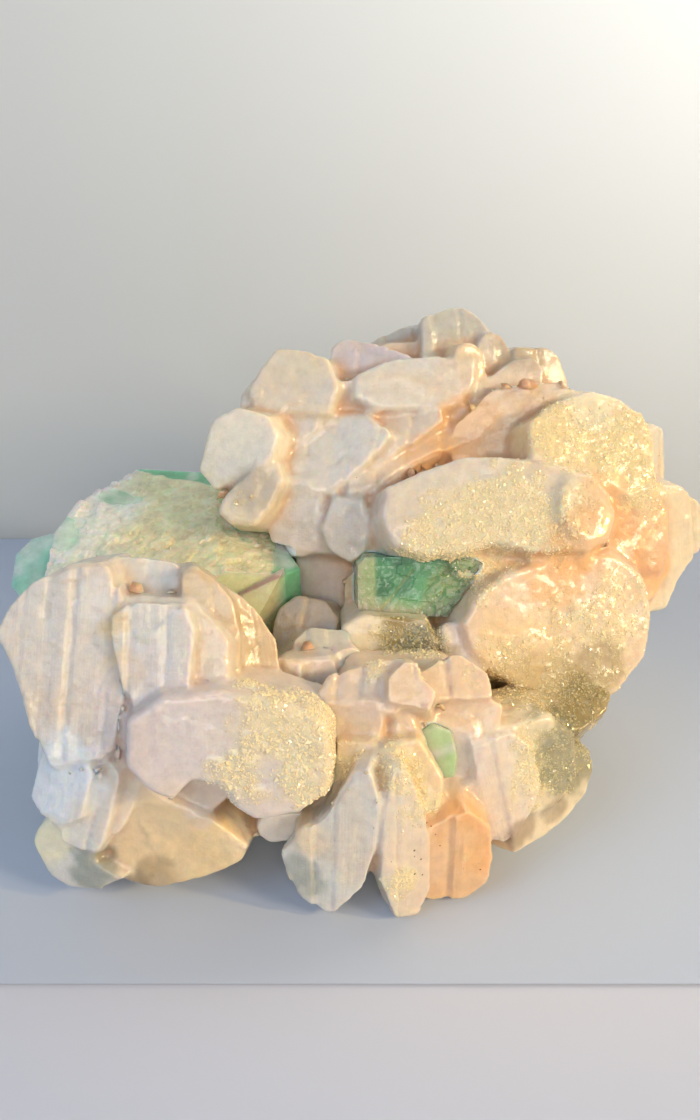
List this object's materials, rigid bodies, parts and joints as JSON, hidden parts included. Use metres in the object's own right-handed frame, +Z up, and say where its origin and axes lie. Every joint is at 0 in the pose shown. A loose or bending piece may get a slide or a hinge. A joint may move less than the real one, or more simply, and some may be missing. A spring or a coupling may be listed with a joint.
{
  "type": "apophyllite specimen",
  "caption": "Cabinet mineral specimen: green apophyllite crystals in sheaves of peach stilbite blades on a piece of dark basalt, standing on its flat cut foot.",
  "frame": {"origin": "middle of the bounding box's foot, on the surface that the specimen rests on", "axes": "+X to the right of someone who looks at the green crystals, -Y towards them, +Z up"},
  "size_m": [0.1742, 0.1297, 0.1097],
  "materials": {
    "green_apophyllite_frosted": "frosted on the end faces, clear inside",
    "green_apophyllite": "clear, glossy faces",
    "pale_stilbite": "pearly, finely striated",
    "peach_stilbite": "pearly, sugary",
    "basalt": "matt, rough"
  },
  "bodies": {
    "root": {"apophyllite_large": "green_apophyllite_frosted", "apophyllite_middle": "green_apophyllite", "apophyllite_small": "green_apophyllite", "stilbite_left_cluster": "pale_stilbite", "stilbite_front_cluster": "peach_stilbite", "stilbite_back_cluster": "peach_stilbite", "stilbite_pocket_blades": "pale_stilbite", "basalt_base": "basalt"}
  },
  "joints": []
}
